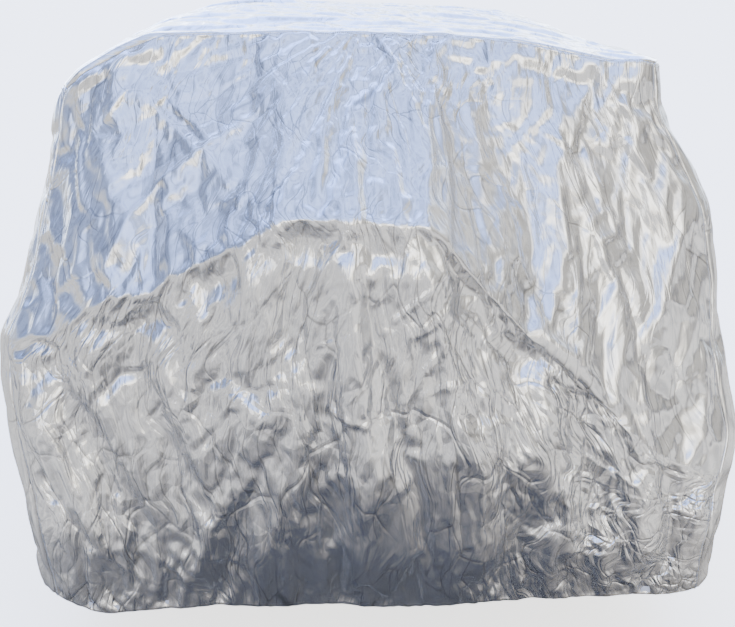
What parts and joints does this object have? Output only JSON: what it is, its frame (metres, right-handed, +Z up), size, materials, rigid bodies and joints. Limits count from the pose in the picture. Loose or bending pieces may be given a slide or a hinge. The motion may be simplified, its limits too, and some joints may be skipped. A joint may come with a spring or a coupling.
{
  "type": "car cover",
  "caption": "Fitted car cover of silver film-faced cloth, sewn from a top, rear, nose and side panels, draped over a compact off-roader with a rear-mounted spare wheel.",
  "frame": {"origin": "the point on the inside of the roof, in the middle of the car's width, where the car holds the cover up", "axes": "+Z up, +Y towards the car's nose, +X to the right as seen from behind the car"},
  "size_m": [2.0761, 4.537, 1.5782],
  "materials": {
    "silver_cloth": "creased silver film on thin cloth, satin gloss"
  },
  "bodies": {
    "root": {"top_panel": "silver_cloth", "rear_panel": "silver_cloth", "left_panel": "silver_cloth", "left_front_panel": "silver_cloth", "right_panel": "silver_cloth", "right_front_panel": "silver_cloth", "nose_panel": "silver_cloth"}
  },
  "joints": []
}
